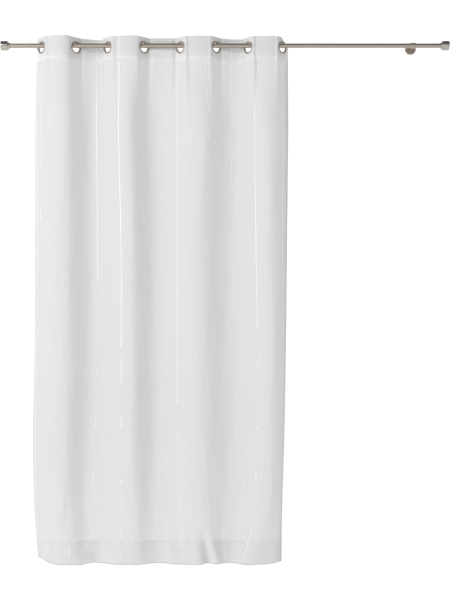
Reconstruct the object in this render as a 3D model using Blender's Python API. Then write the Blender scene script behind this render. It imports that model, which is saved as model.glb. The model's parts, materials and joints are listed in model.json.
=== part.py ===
"""Eyelet curtain on its rod: a sheer panel with a stiffened heading and eight metal eyelets,
a rod with two end caps, and two wall brackets.

Metres, +Z up. The curtain is laid out from the middle of the rod's axis: x runs along the rod,
y towards the wall and z up. Everything hangs from one empty, which puts the origin at the
centre of the right wall plate's back face, so the wall is the plane y = 0.
"""

import math
from collections import namedtuple

import bmesh
import bpy
import numpy as np

# Running gap between neighbouring pieces
GAP = 0.0003

# Rod and end caps
ROD_LENGTH = 2.000
ROD_RADIUS = 0.010
ROD_WALL = 0.001
CAP_OVERLAP = 0.015
CAP_COLLAR_LENGTH = 0.0075
CAP_COLLAR_RADIUS = 0.0135
CAP_RADIUS = 0.021
CAP_LENGTH = 0.040
CAP_EDGE = 0.003

# Wall brackets: the axis of the rod stands this far from the wall
ROD_STANDOFF = 0.065
BRACKET_LEFT = -0.761
BRACKET_RIGHT = 0.861
PLATE_RADIUS = 0.025
PLATE_THICKNESS = 0.006
PLATE_EDGE = 0.002
ARM_RADIUS = 0.006
RING_WIDTH = 0.024
RING_RADIUS = 0.0125
RING_EDGE = 0.0008
SCREW_SHANK_RADIUS = 0.002
SCREW_HEAD_RADIUS = 0.0036
SCREW_HEAD_HEIGHT = 0.0032

# Cloth as it was cut and hemmed, laid flat
CLOTH_WIDTH = 1.400
CLOTH_LENGTH = 2.412
HEADING_DEPTH = 0.105
HEM_DEPTH = 0.105
PANEL_THICKNESS = 0.0014
HEM_THICKNESS = 0.0022
HEADING_THICKNESS = 0.0026

# Eyelets
EYELET_BORE_RADIUS = 0.021
EYELET_OUTER_RADIUS = 0.028
EYELET_COLLAR_WALL = 0.0012
EYELET_HALF_DEPTH = 0.0031
EYELET_CROWN = 0.0006
EYELET_HOLE_RADIUS = 0.0236
EYELET_BELOW_EDGE = 0.0475
LEFT_MARGIN = 0.040
RIGHT_MARGIN = 0.040
EYELET_PLACES = (-0.839, -0.683, -0.536, -0.371, -0.203, -0.041, 0.107, 0.262)

# The heading's right-hand corner is folded back behind the last eyelet, along a slant this wide
CORNER_TURNED = 0.045

# Around each eyelet the cloth lies flat as far as the first reach, and curves freely past the second
FLAT_REACH = 0.031
FREE_REACH = 0.046

# How much rounder than a plain wave the hanging folds are, and how finely a fold is worked out
FOLD_FULLNESS = 0.15
STEPS_PER_FOLD = 64

# Folds of the heading between one eyelet and the next: which side of the rod they pass (-1 is
# the room's side), how far their crest leans to the right as a share of the gap, how much
# rounder than a plain wave they are, and their depth
HeadingFold = namedtuple("HeadingFold", "side lean fullness depth")
HEADING_FOLDS = (
    HeadingFold(-1, 0.12, 0.25, 0.037),
    HeadingFold(+1, 0.17, 0.10, 0.044),
    HeadingFold(-1, 0.13, 0.35, 0.029),
    HeadingFold(+1, 0.04, 0.68, 0.018),
    HeadingFold(-1, 0.08, 0.45, 0.024),
    HeadingFold(+1, 0.18, 0.20, 0.038),
    HeadingFold(-1, 0.10, 0.52, 0.024),
)

# Fold lines of the hanging panel: how far below the top edge, where each line stands along the
# rod, and how deep the folds are from crest to valley
FoldLines = namedtuple(
    "FoldLines",
    "drop left_edge crest_1 valley_1 crest_2 valley_2 crest_3 valley_3 crest_4 right_edge depth",
)
FOLD_LINES = (
    FoldLines(0.42, -0.871, -0.729, -0.617, -0.439, -0.340, -0.109, 0.042, 0.192, 0.291, 0.092),
    FoldLines(0.97, -0.874, -0.731, -0.613, -0.425, -0.327, -0.124, 0.035, 0.206, 0.285, 0.088),
    FoldLines(1.43, -0.875, -0.729, -0.611, -0.425, -0.325, -0.122, 0.042, 0.212, 0.280, 0.084),
    FoldLines(1.89, -0.882, -0.735, -0.625, -0.425, -0.323, -0.122, 0.044, 0.204, 0.271, 0.074),
    FoldLines(2.12, -0.877, -0.735, -0.632, -0.426, -0.316, -0.115, 0.039, 0.190, 0.264, 0.062),
    FoldLines(2.25, -0.871, -0.729, -0.618, -0.427, -0.306, -0.118, 0.032, 0.166, 0.261, 0.050),
    FoldLines(2.41, -0.860, -0.722, -0.596, -0.430, -0.288, -0.125, 0.025, 0.111, 0.259, 0.036),
)
EDGE_BEHIND_ROD = 0.020
BODY_BEGINS = 0.42

# Where the fold lines run on the flat cloth, measured from its left edge to its right edge
FOLD_PLACES = (0.0, 0.168, 0.307, 0.531, 0.655, 0.878, 1.080, 1.292, CLOTH_WIDTH)

# Soft creases near the hem: place along the rod, drop, half width, half height, lean to the
# right for each metre down, and depth towards the wall
Crease = namedtuple("Crease", "along drop half_width half_height lean depth")
CREASES = (
    Crease(-0.722, 2.17, 0.016, 0.08, -0.15, 0.006),
    Crease(-0.655, 2.41, 0.028, 0.09, -0.50, -0.020),
    Crease(-0.604, 2.41, 0.016, 0.08, -0.60, 0.008),
    Crease(-0.520, 2.41, 0.050, 0.14, 0.00, -0.010),
    Crease(-0.240, 2.41, 0.045, 0.14, 0.10, -0.017),
    Crease(-0.079, 2.41, 0.017, 0.12, 0.15, 0.026),
    Crease(-0.030, 2.41, 0.020, 0.12, 0.20, -0.014),
    Crease(0.185, 2.39, 0.030, 0.10, -0.30, 0.004),
)

# Corners of the hem that turn up: height at the very edge, and how far in the lift reaches
LIFT_BEGINS = 2.10
LEFT_LIFT = 0.032
LEFT_LIFT_REACH = 0.125
RIGHT_LIFT = 0.010
RIGHT_LIFT_REACH = 0.050

# Mesh fineness, and the short step by which the cloth's direction is worked out
COLUMNS_PER_EYELET = 4
COLUMNS_PER_FOLD = 9
NEAR = 0.0005
ROUND_SIDES = 20
SMALL_SIDES = 12
SMOOTH_ANGLE = math.radians(35)


def clear_scene():
    for leftover in list(bpy.data.objects):
        bpy.data.objects.remove(leftover, do_unlink=True)


def material(name, colour, roughness, metallic):
    finish = bpy.data.materials.new(name)
    finish.use_nodes = True
    shader = finish.node_tree.nodes["Principled BSDF"]
    shader.inputs["Base Color"].default_value = (*colour, 1.0)
    shader.inputs["Roughness"].default_value = roughness
    shader.inputs["Metallic"].default_value = metallic
    return finish


def new_object(name, mesh, finish, parent, place=(0.0, 0.0, 0.0), turn=(0.0, 0.0, 0.0)):
    piece = bpy.data.objects.new(name, mesh)
    if not mesh.materials:
        mesh.materials.append(finish)
    bpy.context.scene.collection.objects.link(piece)
    piece.parent = parent
    piece.location = place
    piece.rotation_euler = turn
    return piece


def mesh_from(shape, name):
    """Turn a bmesh into a mesh whose faces point out and whose round faces look round."""
    bmesh.ops.recalc_face_normals(shape, faces=shape.faces)
    mesh = bpy.data.meshes.new(name)
    shape.to_mesh(mesh)
    shape.free()
    mesh.shade_smooth()
    mesh.set_sharp_from_angle(angle=SMOOTH_ANGLE)
    return mesh


def turned(name, profile, sides):
    """A solid turned about Z. The profile gives radius and height; one that doesn't start and
    end on the axis is closed into a ring."""
    shape = bmesh.new()
    points = [shape.verts.new((radius, 0.0, height)) for radius, height in profile]
    for first, second in zip(points, points[1:]):
        shape.edges.new((first, second))
    if profile[0][0] > 0.0:
        shape.edges.new((points[-1], points[0]))
    bmesh.ops.spin(
        shape,
        geom=shape.verts[:] + shape.edges[:],
        axis=(0.0, 0.0, 1.0),
        cent=(0.0, 0.0, 0.0),
        angle=math.tau,
        steps=sides,
        use_duplicate=False,
    )
    bmesh.ops.remove_doubles(shape, verts=shape.verts, dist=1e-6)
    return mesh_from(shape, name)


def cut(piece, cutter):
    """Cut one object out of another, and leave the cutter out of the model."""
    cutter.hide_render = True
    cutter.display_type = "WIRE"
    difference = piece.modifiers.new(cutter.name, "BOOLEAN")
    difference.operation = "DIFFERENCE"
    difference.solver = "EXACT"
    difference.object = cutter


def soft_step(value, start, end):
    """Nought before start, one after end, and a soft rise between them."""
    share = np.clip((value - start) / (end - start), 0.0, 1.0)
    return share * share * (3.0 - 2.0 * share)


def flat_places(x, y, start, end):
    """Where each point of a plan line lies on the flat cloth between two known places."""
    run = np.concatenate(([0.0], np.cumsum(np.hypot(np.diff(x), np.diff(y)))))
    return start + (end - start) * run / run[-1]


def eyelet_flats():
    """Flat place of each eyelet's centre, from the left edge of the cloth."""
    return np.linspace(LEFT_MARGIN, CLOTH_WIDTH - RIGHT_MARGIN, len(EYELET_PLACES))


def heading_turns():
    """Which way the cloth runs at each eyelet, as an angle seen from above."""
    slopes = []
    for fold, start, end in zip(HEADING_FOLDS, EYELET_PLACES, EYELET_PLACES[1:]):
        slopes.append(fold.side * math.pi * fold.depth / ((end - start) * (1.0 - fold.fullness)))
    before = [-slopes[0]] + slopes
    after = slopes + [-slopes[-1]]
    return [math.atan((right - left) / 2.0) for left, right in zip(before, after)]


def heading_plan():
    """The heading seen from above: flat place, x and y of many points along its middle line."""
    flats = eyelet_flats()
    turns = heading_turns()
    share = np.linspace(0.0, 1.0, STEPS_PER_FOLD + 1)
    lines = []
    for number, fold in enumerate(HEADING_FOLDS):
        start, end = EYELET_PLACES[number : number + 2]
        wave = share - fold.fullness * np.sin(math.tau * share) / math.tau
        x = start + (end - start) * (wave + fold.lean * np.sin(math.pi * share) ** 2)
        y = fold.side * fold.depth * np.sin(math.pi * share)
        flat = flat_places(x, y, flats[number], flats[number + 1])
        lines.append(np.array((flat, x, y))[:, : STEPS_PER_FOLD])
    margins = []
    for number, margin in ((0, -LEFT_MARGIN), (-1, RIGHT_MARGIN)):
        run = np.linspace(0.0, margin, STEPS_PER_FOLD // 4 + 1)
        x = EYELET_PLACES[number] + run * math.cos(turns[number])
        margins.append(np.array((flats[number] + run, x, run * math.sin(turns[number]))))
    flat, x, y = np.concatenate([margins[0][:, :0:-1], *lines, margins[1]], axis=1)
    for eyelet_flat, place, turn in zip(flats, EYELET_PLACES, turns):
        run = flat - eyelet_flat
        free = soft_step(np.abs(run), FLAT_REACH, FREE_REACH)
        x = free * x + (1.0 - free) * (place + run * math.cos(turn))
        y = free * y + (1.0 - free) * run * math.sin(turn)
    return flat, x, y


def through(places, values, at):
    """A smooth value between the rows of a table, held level before the first row."""
    at = min(max(at, places[0]), places[-1])
    row = min(int(np.searchsorted(places, at, side="right")) - 1, len(places) - 2)
    slopes = np.gradient(values, places)
    step = places[row + 1] - places[row]
    share = (at - places[row]) / step
    rise = values[row + 1] - values[row]
    start = slopes[row] * step
    end = slopes[row + 1] * step
    bend = start + end - 2.0 * rise
    return values[row] + start * share + (3.0 * rise - 2.0 * start - end) * share**2 + bend * share**3


def body_plan(drop):
    """The hanging panel seen from above at one drop: flat place, x and y along its middle line."""
    columns = np.array(FOLD_LINES).T
    *lines, depth = [through(columns[0], column, drop) for column in columns[1:]]
    depths = [EDGE_BEHIND_ROD]
    depths += [depth / 2.0 * (-1) ** (number + 1) for number in range(len(lines) - 2)]
    depths += [EDGE_BEHIND_ROD]
    share = np.linspace(0.0, 1.0, STEPS_PER_FOLD + 1)
    wave = share + FOLD_FULLNESS * np.sin(math.tau * share) / math.tau
    flats, x_parts, y_parts = [], [], []
    last = len(lines) - 2
    for number in range(last + 1):
        if number == 0:
            along, rise = share, np.sin(math.pi * share / 2.0)
        elif number == last:
            along, rise = share, 1.0 - np.cos(math.pi * share / 2.0)
        else:
            along, rise = wave, (1.0 - np.cos(math.pi * share)) / 2.0
        begin = 0 if number == 0 else 1
        x = lines[number] + (lines[number + 1] - lines[number]) * along
        y = depths[number] + (depths[number + 1] - depths[number]) * rise
        flats.append(flat_places(x, y, FOLD_PLACES[number], FOLD_PLACES[number + 1])[begin:])
        x_parts.append(x[begin:])
        y_parts.append(y[begin:])
    return np.concatenate(flats), np.concatenate(x_parts), np.concatenate(y_parts)


def hanging_drop(turn):
    """How far an eyelet's centre hangs below the rod's axis when its bore rests on the rod."""
    bore = EYELET_BORE_RADIUS * math.cos(math.pi / ROUND_SIDES)
    around = np.linspace(0.0, math.pi / 2.0, 91)
    cant = math.pi / 2.0 - abs(turn)
    sideways = EYELET_HALF_DEPTH * math.tan(cant) + ROD_RADIUS * np.sin(around) / math.cos(cant)
    inside = sideways < bore
    height = np.sqrt(bore**2 - sideways[inside] ** 2) - ROD_RADIUS * np.cos(around[inside])
    return float(height.min()) - GAP


def eyelet_drops():
    return [hanging_drop(turn) for turn in heading_turns()]


def cloth_grid(flats, drops):
    """Points of the cloth's middle surface, one row for each drop and one column for each flat."""
    heading = [np.interp(flats, heading_plan()[0], part) for part in heading_plan()[1:]]
    hung = EYELET_BELOW_EDGE - np.interp(flats, eyelet_flats(), eyelet_drops())
    rows = []
    for drop in drops:
        plan = body_plan(drop)
        body = [np.interp(flats, plan[0], part) for part in plan[1:]]
        share = soft_step(drop, HEADING_DEPTH, BODY_BEGINS)
        x, y = [(1.0 - share) * top + share * low for top, low in zip(heading, body)]
        for crease in CREASES:
            across = (x - crease.along - crease.lean * (drop - crease.drop)) / crease.half_width
            down = (drop - crease.drop) / crease.half_height
            y = y + crease.depth * np.exp(-(across**2) - down**2)
        lift = LEFT_LIFT * np.clip(1.0 - flats / LEFT_LIFT_REACH, 0.0, 1.0) ** 2
        from_right = CLOTH_WIDTH - flats
        lift = lift + RIGHT_LIFT * np.clip(1.0 - from_right / RIGHT_LIFT_REACH, 0.0, 1.0) ** 2
        z = hung - drop + lift * soft_step(drop, LIFT_BEGINS, CLOTH_LENGTH) ** 2
        z = z - np.clip(CORNER_TURNED - from_right, 0.0, None) * max(0.0, 1.0 - drop / HEADING_DEPTH)
        rows.append(np.stack((x, y, z), axis=1))
    return np.array(rows)


def cloth_columns():
    """Flat places of the mesh's columns: even ones across each eyelet's flat patch and fold."""
    patches = [np.linspace(-1.0, 1.0, COLUMNS_PER_EYELET + 1) * FLAT_REACH + flat for flat in eyelet_flats()]
    folds = [
        np.linspace(left[-1], right[0], COLUMNS_PER_FOLD + 1)[1:-1]
        for left, right in zip(patches, patches[1:])
    ]
    return np.sort(np.concatenate([[0.0, CLOTH_WIDTH], *patches, *folds]))


def thick_sheet(name, flats, drops, thicknesses):
    """A closed sheet of cloth: the middle surface, moved half its thickness to either side."""
    middle = cloth_grid(flats, drops)
    across = cloth_grid(flats + NEAR, drops) - cloth_grid(flats - NEAR, drops)
    down = np.gradient(middle, axis=0)
    normals = np.cross(across, down)
    normals /= np.linalg.norm(normals, axis=2, keepdims=True)
    half = np.array(thicknesses).reshape(-1, 1, 1) / 2.0
    rows, columns = middle.shape[:2]
    shape = bmesh.new()
    faces_of_cloth = []
    for side in (-1.0, 1.0):
        points = (middle + side * half * normals).reshape(-1, 3)
        faces_of_cloth.append([shape.verts.new(point) for point in points])
    room, wall = faces_of_cloth
    for row in range(rows - 1):
        for column in range(columns - 1):
            corner = row * columns + column
            loop = (corner, corner + columns, corner + columns + 1, corner + 1)
            shape.faces.new([room[index] for index in loop])
            shape.faces.new([wall[index] for index in reversed(loop)])
    top = list(range(columns))
    bottom = [(rows - 1) * columns + column for column in range(columns)]
    left = [row * columns for row in range(rows)]
    right = [row * columns + columns - 1 for row in range(rows)]
    for edge in (top, bottom, left, right):
        for first, second in zip(edge, edge[1:]):
            shape.faces.new((room[first], room[second], wall[second], wall[first]))
    return mesh_from(shape, name)


def make_panel(finish, parent):
    """The panel from the heading's seam to the hem, which is the cloth turned up and doubled."""
    hem_line = CLOTH_LENGTH - HEM_DEPTH
    single = np.concatenate(
        (
            np.linspace(HEADING_DEPTH + GAP, BODY_BEGINS, 5),
            np.linspace(0.70, 1.90, 5),
            np.linspace(2.04, hem_line, 3),
        )
    )
    doubled = np.linspace(hem_line + HEM_THICKNESS, CLOTH_LENGTH, 4)
    thicknesses = [PANEL_THICKNESS] * len(single) + [HEM_THICKNESS] * len(doubled)
    mesh = thick_sheet("panel", cloth_columns(), np.concatenate((single, doubled)), thicknesses)
    new_object("panel", mesh, finish, parent)


def make_heading(finish, parent):
    """The stiffened band at the top, with one round hole for each eyelet."""
    drops = (0.0, HEADING_DEPTH)
    mesh = thick_sheet("heading", cloth_columns(), drops, [HEADING_THICKNESS] * 2)
    heading = new_object("heading", mesh, finish, parent)
    reach = 4.0 * HEADING_THICKNESS
    profile = (
        (0.0, -reach),
        (EYELET_HOLE_RADIUS, -reach),
        (EYELET_HOLE_RADIUS, reach),
        (0.0, reach),
    )
    punch = turned("eyelet_hole", profile, ROUND_SIDES)
    for number, (place, turn) in enumerate(eyelet_seats(), start=1):
        cut(heading, new_object(f"eyelet_hole_{number}", punch, finish, parent, place, turn))


def eyelet_seats():
    """Centre and rotation of each eyelet, whose own Z then points into the room."""
    for along, drop, turn in zip(EYELET_PLACES, eyelet_drops(), heading_turns()):
        yield (along, 0.0, -drop), (math.pi / 2.0, 0.0, turn)


def make_eyelets(finish, parent):
    """Each eyelet is two rings: the front one's collar passes through the cloth and the back one."""
    bore, outer, depth = EYELET_BORE_RADIUS, EYELET_OUTER_RADIUS, EYELET_HALF_DEPTH
    collar = bore + EYELET_COLLAR_WALL
    seat = HEADING_THICKNESS / 2.0 + GAP
    crown = (bore + outer) / 2.0
    front_profile = (
        (bore, -depth),
        (bore, depth - EYELET_CROWN),
        (bore + EYELET_CROWN, depth),
        (crown, depth + EYELET_CROWN),
        (outer - EYELET_CROWN, depth - EYELET_CROWN / 2.0),
        (outer, seat + EYELET_CROWN / 2.0),
        (outer, seat),
        (collar, seat),
        (collar, -depth),
    )
    back_profile = (
        (collar + GAP, -depth),
        (collar + GAP, -seat),
        (outer, -seat),
        (outer - EYELET_CROWN, -depth + EYELET_CROWN / 2.0),
        (crown, -depth - EYELET_CROWN / 2.0),
    )
    front = turned("eyelet_front", front_profile, ROUND_SIDES)
    back = turned("eyelet_back", back_profile, ROUND_SIDES)
    for number, (place, turn) in enumerate(eyelet_seats(), start=1):
        new_object(f"eyelet_front_{number}", front, finish, parent, place, turn)
        new_object(f"eyelet_back_{number}", back, finish, parent, place, turn)


def make_rod(finish, parent):
    """A round tube, open at its ends, where the caps slip over it."""
    half = ROD_LENGTH / 2.0
    bore = ROD_RADIUS - ROD_WALL
    profile = ((bore, -half), (bore, half), (ROD_RADIUS, half), (ROD_RADIUS, -half))
    tube = turned("rod", profile, ROUND_SIDES)
    new_object("rod", tube, finish, parent, turn=(0.0, math.pi / 2.0, 0.0))


def make_caps(finish, parent):
    """Short drum-shaped ends with a small collar, bored to slip over the tube."""
    bore = ROD_RADIUS + GAP
    profile = (
        (0.0, CAP_LENGTH),
        (CAP_RADIUS - CAP_EDGE, CAP_LENGTH),
        (CAP_RADIUS - CAP_EDGE * 0.3, CAP_LENGTH - CAP_EDGE * 0.3),
        (CAP_RADIUS, CAP_LENGTH - CAP_EDGE),
        (CAP_RADIUS, CAP_COLLAR_LENGTH + CAP_EDGE / 2.0),
        (CAP_RADIUS - CAP_EDGE / 2.0, CAP_COLLAR_LENGTH),
        (CAP_COLLAR_RADIUS, CAP_COLLAR_LENGTH),
        (CAP_COLLAR_RADIUS, 0.0),
        (bore, 0.0),
        (bore, CAP_OVERLAP + GAP),
        (0.0, CAP_OVERLAP + GAP),
    )
    cap = turned("cap", profile, ROUND_SIDES)
    inner_end = ROD_LENGTH / 2.0 - CAP_OVERLAP
    for name, side in (("cap_left", -1.0), ("cap_right", 1.0)):
        place = (side * inner_end, 0.0, 0.0)
        new_object(name, cap, finish, parent, place, (0.0, side * math.pi / 2.0, 0.0))


def make_bracket(side, along, finish, parent):
    """A round wall plate, a straight arm, a ring for the rod and the screw that pins the rod."""
    to_wall = (-math.pi / 2.0, 0.0, 0.0)
    plate_profile = (
        (0.0, 0.0),
        (PLATE_RADIUS, 0.0),
        (PLATE_RADIUS, -PLATE_THICKNESS + PLATE_EDGE),
        (PLATE_RADIUS - PLATE_EDGE, -PLATE_THICKNESS),
        (0.0, -PLATE_THICKNESS),
    )
    plate = turned("wall_plate", plate_profile, ROUND_SIDES)
    place = (along, ROD_STANDOFF, 0.0)
    new_object(f"wall_plate_{side}", plate, finish, parent, place, to_wall)

    arm_end = ROD_STANDOFF - PLATE_THICKNESS - GAP
    arm_profile = ((0.0, 0.0), (ARM_RADIUS, 0.0), (ARM_RADIUS, arm_end), (0.0, arm_end))
    arm_mesh = turned("arm", arm_profile, SMALL_SIDES)
    arm = new_object(f"arm_{side}", arm_mesh, finish, parent, (along, 0.0, 0.0), to_wall)
    along_rod = (0.0, math.pi / 2.0, 0.0)
    half = RING_WIDTH / 2.0
    cope_radius = RING_RADIUS + GAP
    cope_profile = ((0.0, -half), (cope_radius, -half), (cope_radius, half), (0.0, half))
    cope_mesh = turned("arm_cope", cope_profile, ROUND_SIDES)
    centre = (along, 0.0, 0.0)
    cut(arm, new_object(f"arm_cope_{side}", cope_mesh, finish, parent, centre, along_rod))

    ring_bore = ROD_RADIUS + GAP
    ring_profile = (
        (ring_bore, -half),
        (ring_bore, half),
        (RING_RADIUS - RING_EDGE, half),
        (RING_RADIUS, half - RING_EDGE),
        (RING_RADIUS, -half + RING_EDGE),
        (RING_RADIUS - RING_EDGE, -half),
    )
    ring_mesh = turned("rod_ring", ring_profile, ROUND_SIDES)
    ring = new_object(f"rod_ring_{side}", ring_mesh, finish, parent, centre, along_rod)

    into_room = (math.pi / 2.0, 0.0, 0.0)
    hole = SCREW_SHANK_RADIUS + GAP
    hole_profile = ((0.0, 0.0), (hole, 0.0), (hole, 2.0 * RING_RADIUS), (0.0, 2.0 * RING_RADIUS))
    hole_mesh = turned("screw_hole", hole_profile, SMALL_SIDES)
    cut(ring, new_object(f"screw_hole_{side}", hole_mesh, finish, parent, centre, into_room))
    tip, seat = ROD_RADIUS + GAP, RING_RADIUS + GAP
    head = seat + SCREW_HEAD_HEIGHT
    screw_profile = (
        (0.0, tip),
        (SCREW_SHANK_RADIUS, tip),
        (SCREW_SHANK_RADIUS, seat),
        (SCREW_HEAD_RADIUS, seat),
        (SCREW_HEAD_RADIUS, head - RING_EDGE),
        (SCREW_HEAD_RADIUS - RING_EDGE, head),
        (0.0, head),
    )
    screw = turned("set_screw", screw_profile, SMALL_SIDES)
    new_object(f"set_screw_{side}", screw, finish, parent, centre, into_room)


def main():
    clear_scene()
    voile = material("white_voile", (0.80, 0.80, 0.79), 0.85, 0.0)
    band = material("white_heading_band", (0.84, 0.84, 0.83), 0.80, 0.0)
    nickel = material("satin_nickel", (0.52, 0.47, 0.42), 0.32, 1.0)
    polished = material("polished_nickel", (0.62, 0.60, 0.57), 0.15, 1.0)

    middle_of_rod = bpy.data.objects.new("middle_of_rod", None)
    middle_of_rod.location = (-BRACKET_RIGHT, -ROD_STANDOFF, 0.0)
    bpy.context.scene.collection.objects.link(middle_of_rod)

    make_panel(voile, middle_of_rod)
    make_heading(band, middle_of_rod)
    make_eyelets(nickel, middle_of_rod)
    make_rod(nickel, middle_of_rod)
    make_caps(polished, middle_of_rod)
    make_bracket("left", BRACKET_LEFT, nickel, middle_of_rod)
    make_bracket("right", BRACKET_RIGHT, nickel, middle_of_rod)


main()
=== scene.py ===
"""Looks of a sheer eyelet curtain on its rod.

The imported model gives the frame. The cloth is hung here again on the same fold lines, fine
enough for its creases, and the metal pieces are turned again with their rounded edges.
Metres, +Z up. The wall plates stand on the plane y = 0, and the front faces -Y.
"""

import json
import math
from collections import namedtuple

import bmesh
import bpy
import numpy as np
from bpy.props import FloatProperty, FloatVectorProperty, PointerProperty
from mathutils import Euler, Matrix, Vector

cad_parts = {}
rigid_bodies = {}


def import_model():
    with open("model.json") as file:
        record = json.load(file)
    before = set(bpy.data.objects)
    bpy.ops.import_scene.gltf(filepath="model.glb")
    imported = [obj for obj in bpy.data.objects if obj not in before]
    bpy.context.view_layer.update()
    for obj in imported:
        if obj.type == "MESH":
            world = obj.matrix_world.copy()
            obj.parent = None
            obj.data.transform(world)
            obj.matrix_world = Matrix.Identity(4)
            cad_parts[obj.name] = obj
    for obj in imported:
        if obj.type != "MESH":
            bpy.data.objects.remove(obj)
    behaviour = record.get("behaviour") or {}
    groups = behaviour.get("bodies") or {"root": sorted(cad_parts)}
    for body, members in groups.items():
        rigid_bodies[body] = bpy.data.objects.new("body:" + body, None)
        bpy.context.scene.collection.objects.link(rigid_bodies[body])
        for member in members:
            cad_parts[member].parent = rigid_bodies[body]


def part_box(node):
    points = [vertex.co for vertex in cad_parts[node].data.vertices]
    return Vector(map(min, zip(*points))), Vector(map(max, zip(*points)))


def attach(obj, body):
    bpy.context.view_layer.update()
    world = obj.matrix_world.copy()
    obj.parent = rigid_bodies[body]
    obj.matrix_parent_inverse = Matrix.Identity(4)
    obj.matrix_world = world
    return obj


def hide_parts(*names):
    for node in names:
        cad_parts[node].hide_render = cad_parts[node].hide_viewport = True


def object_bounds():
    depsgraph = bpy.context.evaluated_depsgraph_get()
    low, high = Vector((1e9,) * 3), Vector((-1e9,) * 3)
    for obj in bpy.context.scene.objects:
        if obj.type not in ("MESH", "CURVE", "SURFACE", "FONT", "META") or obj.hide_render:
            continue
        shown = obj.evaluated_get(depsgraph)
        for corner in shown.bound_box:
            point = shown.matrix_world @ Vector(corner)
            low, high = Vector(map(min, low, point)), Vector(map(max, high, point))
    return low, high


bl_info = {
    "name": "Eyelet curtain on its rod",
    "version": (1, 0, 0),
    "blender": (4, 5, 0),
    "location": "3D View > Sidebar > Curtain",
    "description": "Hangs a sheer eyelet curtain on its rod and sets it in soft light",
    "category": "Object",
}

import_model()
cad_low, cad_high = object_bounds()

# The curtain is laid out from the middle of the rod's axis: x along the rod, y to the back, z up
ROD_MIDDLE = (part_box("rod")[0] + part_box("rod")[1]) / 2.0
ROD_HALF = (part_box("rod")[1].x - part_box("rod")[0].x) / 2.0
ROD_RADIUS = (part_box("rod")[1].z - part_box("rod")[0].z) / 2.0

# Clearance between pieces that touch
GAP = 0.0003

# Cloth as it was cut and hemmed, laid flat
CLOTH_WIDTH = 1.400
CLOTH_LENGTH = 2.412
HEADING_DEPTH = 0.105
HEADING_HALF = 0.0012
HEM_DEPTH = 0.105
HEADING_TURN_IN = 0.016

# Eyelets
EYELET_BORE_RADIUS = 0.021
EYELET_OUTER_RADIUS = 0.028
EYELET_COLLAR_WALL = 0.0012
EYELET_HALF_DEPTH = 0.0031
EYELET_HOLE_RADIUS = 0.0236
EYELET_BELOW_EDGE = 0.0475
LEFT_MARGIN = 0.040
RIGHT_MARGIN = 0.040
EYELET_PLACES = (-0.839, -0.683, -0.536, -0.371, -0.203, -0.041, 0.107, 0.262)
# The bores of the solids are polygons with this many sides
EYELET_SIDES_IN_SOLID = 20
# Near an eyelet the heading lies flat up to the first distance, and is free from the second
FLAT_REACH = 0.031
FREE_REACH = 0.046

# The heading's right-hand corner is folded back behind the last eyelet, along a slant this wide
CORNER_TURNED = 0.045

# Folds of the heading between one eyelet and the next: the side of the rod they pass (-1 is the
# front), how far their crest leans to the right, how round they are, and their depth
HeadingFold = namedtuple("HeadingFold", "side lean fullness depth")
HEADING_FOLDS = (
    HeadingFold(-1, 0.12, 0.25, 0.037),
    HeadingFold(+1, 0.17, 0.10, 0.044),
    HeadingFold(-1, 0.13, 0.35, 0.029),
    HeadingFold(+1, 0.04, 0.68, 0.018),
    HeadingFold(-1, 0.08, 0.45, 0.024),
    HeadingFold(+1, 0.18, 0.20, 0.038),
    HeadingFold(-1, 0.10, 0.52, 0.024),
)

# Fold lines of the hanging panel: how far below the top edge, where each line stands along the
# rod, and how deep the folds are from crest to valley
FoldLines = namedtuple(
    "FoldLines",
    "drop left_edge crest_1 valley_1 crest_2 valley_2 crest_3 valley_3 crest_4 right_edge depth",
)
FOLD_LINES = (
    FoldLines(0.42, -0.871, -0.729, -0.617, -0.439, -0.340, -0.109, 0.042, 0.192, 0.291, 0.092),
    FoldLines(0.97, -0.874, -0.731, -0.613, -0.425, -0.327, -0.124, 0.035, 0.206, 0.285, 0.088),
    FoldLines(1.43, -0.875, -0.729, -0.611, -0.425, -0.325, -0.122, 0.042, 0.212, 0.280, 0.084),
    FoldLines(1.89, -0.882, -0.735, -0.625, -0.425, -0.323, -0.122, 0.044, 0.204, 0.271, 0.074),
    FoldLines(2.12, -0.877, -0.735, -0.632, -0.426, -0.316, -0.115, 0.039, 0.190, 0.264, 0.062),
    FoldLines(2.25, -0.871, -0.729, -0.618, -0.427, -0.306, -0.118, 0.032, 0.166, 0.261, 0.050),
    FoldLines(2.41, -0.860, -0.722, -0.596, -0.430, -0.288, -0.125, 0.025, 0.111, 0.259, 0.036),
)
FOLD_FULLNESS = 0.15
# How far behind the rod's axis the cloth's side edges hang
EDGE_BEHIND_ROD = 0.020
# Drop at which the heading's folds have changed over to the panel's
BODY_BEGINS = 0.42

# Where the fold lines run on the flat cloth, measured from its left edge to its right edge
FOLD_PLACES = (0.0, 0.168, 0.307, 0.531, 0.655, 0.878, 1.080, 1.292, CLOTH_WIDTH)

# Soft creases: place along the rod, drop, half width, half height, lean to the right for each
# metre down, and depth towards the back. The solids have the same ones
Crease = namedtuple("Crease", "along drop half_width half_height lean depth")
CREASES = (
    Crease(-0.722, 2.17, 0.016, 0.08, -0.15, 0.006),
    Crease(-0.655, 2.41, 0.028, 0.09, -0.50, -0.020),
    Crease(-0.604, 2.41, 0.016, 0.08, -0.60, 0.008),
    Crease(-0.520, 2.41, 0.050, 0.14, 0.00, -0.010),
    Crease(-0.240, 2.41, 0.045, 0.14, 0.10, -0.017),
    Crease(-0.079, 2.41, 0.017, 0.12, 0.15, 0.026),
    Crease(-0.030, 2.41, 0.020, 0.12, 0.20, -0.014),
    Crease(0.185, 2.39, 0.030, 0.10, -0.30, 0.004),
)

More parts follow.
